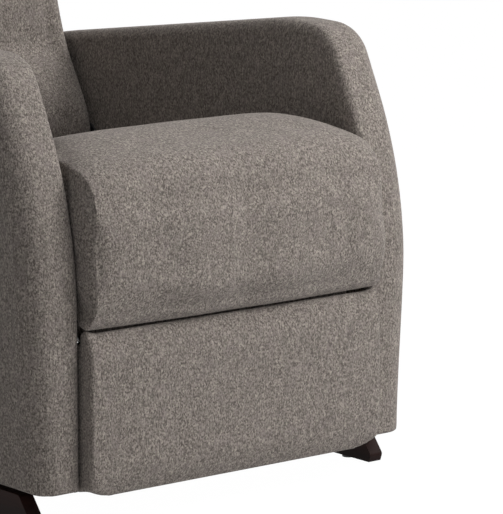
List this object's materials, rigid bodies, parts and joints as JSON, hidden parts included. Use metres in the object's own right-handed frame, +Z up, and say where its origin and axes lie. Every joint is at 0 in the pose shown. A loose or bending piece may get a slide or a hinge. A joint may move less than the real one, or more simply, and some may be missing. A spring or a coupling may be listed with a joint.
{
  "type": "rocker recliner",
  "caption": "Upholstered rocker recliner with padded arms, a rolled seat front, a reclining back, a fold-out footrest on lazy tongs and a sprung rocking base on wooden floor rails.",
  "frame": {"origin": "on the floor under the middle of the overall box", "axes": "+X to the right seen from the front, -Y the way the sitter faces, +Z up; footrest closed, back upright, not rocked"},
  "size_m": [0.67, 0.9983, 0.9785],
  "materials": {
    "upholstery_fabric": "heathered taupe-grey chenille",
    "dark_stained_wood": "dark brown stain, satin",
    "frame_wood": "planed, unfinished",
    "plywood": "sanded plywood",
    "black_steel": "black powder coat",
    "zinc_steel": "zinc plated",
    "webbing": "woven elastic strap",
    "black_plastic": "matte moulded nylon"
  },
  "bodies": {
    "base": {"base_rail_left": "dark_stained_wood", "base_rail_right": "dark_stained_wood", "front_cross_rail": "frame_wood", "rear_cross_rail": "frame_wood", "rocker_track_left": "frame_wood", "rocker_track_right": "frame_wood", "floor_glides": "black_plastic", "base_screws": "zinc_steel", "lower_spring_cups": "black_steel", "rocker_springs": "zinc_steel"},
    "chair": {"upper_spring_cups": "black_steel", "side_plate_left": "black_steel", "side_plate_right": "black_steel", "side_plate_bolts": "zinc_steel", "rocker_cam_left": "frame_wood", "rocker_cam_right": "frame_wood", "front_cross_tube": "black_steel", "rear_cross_tube": "black_steel", "seat_front_rail": "frame_wood", "seat_rear_rail": "frame_wood", "seat_side_rail_left": "frame_wood", "seat_side_rail_right": "frame_wood", "seat_webbing": "webbing", "seat_cushion": "upholstery_fabric", "arm_pad_left": "upholstery_fabric", "arm_pad_right": "upholstery_fabric", "arm_inner_panel_left": "plywood", "arm_inner_panel_right": "plywood", "arm_outer_board_left": "plywood", "arm_outer_board_right": "plywood", "arm_blocks_left": "frame_wood", "arm_blocks_right": "frame_wood", "lower_rear_panel": "upholstery_fabric", "back_hinge_pins": "zinc_steel"},
    "footrest_drive": {"drive_link_left": "black_steel", "drive_link_right": "black_steel", "drive_link_pins": "zinc_steel", "drive_shaft": "black_steel", "release_handle": "black_steel", "handle_grip": "black_plastic"},
    "cross_links": {"cross_link_left": "black_steel", "cross_link_right": "black_steel", "cross_link_pins": "zinc_steel"},
    "footrest": {"footrest_bracket_left": "black_steel", "footrest_bracket_right": "black_steel", "footrest_pins": "zinc_steel", "footrest_board": "plywood", "footrest_pad": "upholstery_fabric"},
    "short_links": {"short_link_left": "black_steel", "short_link_right": "black_steel"},
    "back": {"back_stile_left": "frame_wood", "back_stile_right": "frame_wood", "back_lower_rail": "frame_wood", "back_middle_rail": "frame_wood", "back_top_rail": "frame_wood", "back_webbing": "webbing", "back_bracket_left": "black_steel", "back_bracket_right": "black_steel", "back_cushion": "upholstery_fabric", "back_rear_pad": "upholstery_fabric"}
  },
  "joints": [
    {"name": "rock", "type": "hinge", "parent": "base", "child": "chair", "pos_m": [0, -0.048, 0.054], "axis": [1, 0, 0], "range_deg": [-6.5, 3.5], "stiffness_Nm_per_rad": 900, "deforming": ["rocker_springs"]},
    {"name": "recline", "type": "hinge", "parent": "chair", "child": "back", "pos_m": [0, 0.222, 0.392], "axis": [-1, 0, 0], "range_deg": [0, 30]},
    {"name": "footrest_fold", "type": "hinge", "parent": "chair", "child": "footrest_drive", "pos_m": [0, -0.356, 0.24], "axis": [-1, 0, 0], "range_deg": [0, 79]},
    {"name": "cross_link_turn", "type": "hinge", "parent": "footrest_drive", "child": "cross_links", "pos_m": [0, -0.38219, 0.14556], "axis": [-1, 0, 0], "range_deg": [-158.5, 0]},
    {"name": "footrest_turn", "type": "hinge", "parent": "cross_links", "child": "footrest", "pos_m": [0, -0.3745, 0.24326], "axis": [-1, 0, 0], "range_deg": [0, 158.5]},
    {"name": "short_link_turn", "type": "hinge", "parent": "footrest", "child": "short_links", "pos_m": [0, -0.40069, 0.14883], "axis": [-1, 0, 0], "range_deg": [-158.5, 0]}
  ],
  "couplings": [
    {"joint": "cross_link_turn", "follows": "footrest_fold", "ratio": -2},
    {"joint": "footrest_turn", "follows": "footrest_fold", "ratio": 2},
    {"joint": "short_link_turn", "follows": "footrest_fold", "ratio": -2}
  ]
}
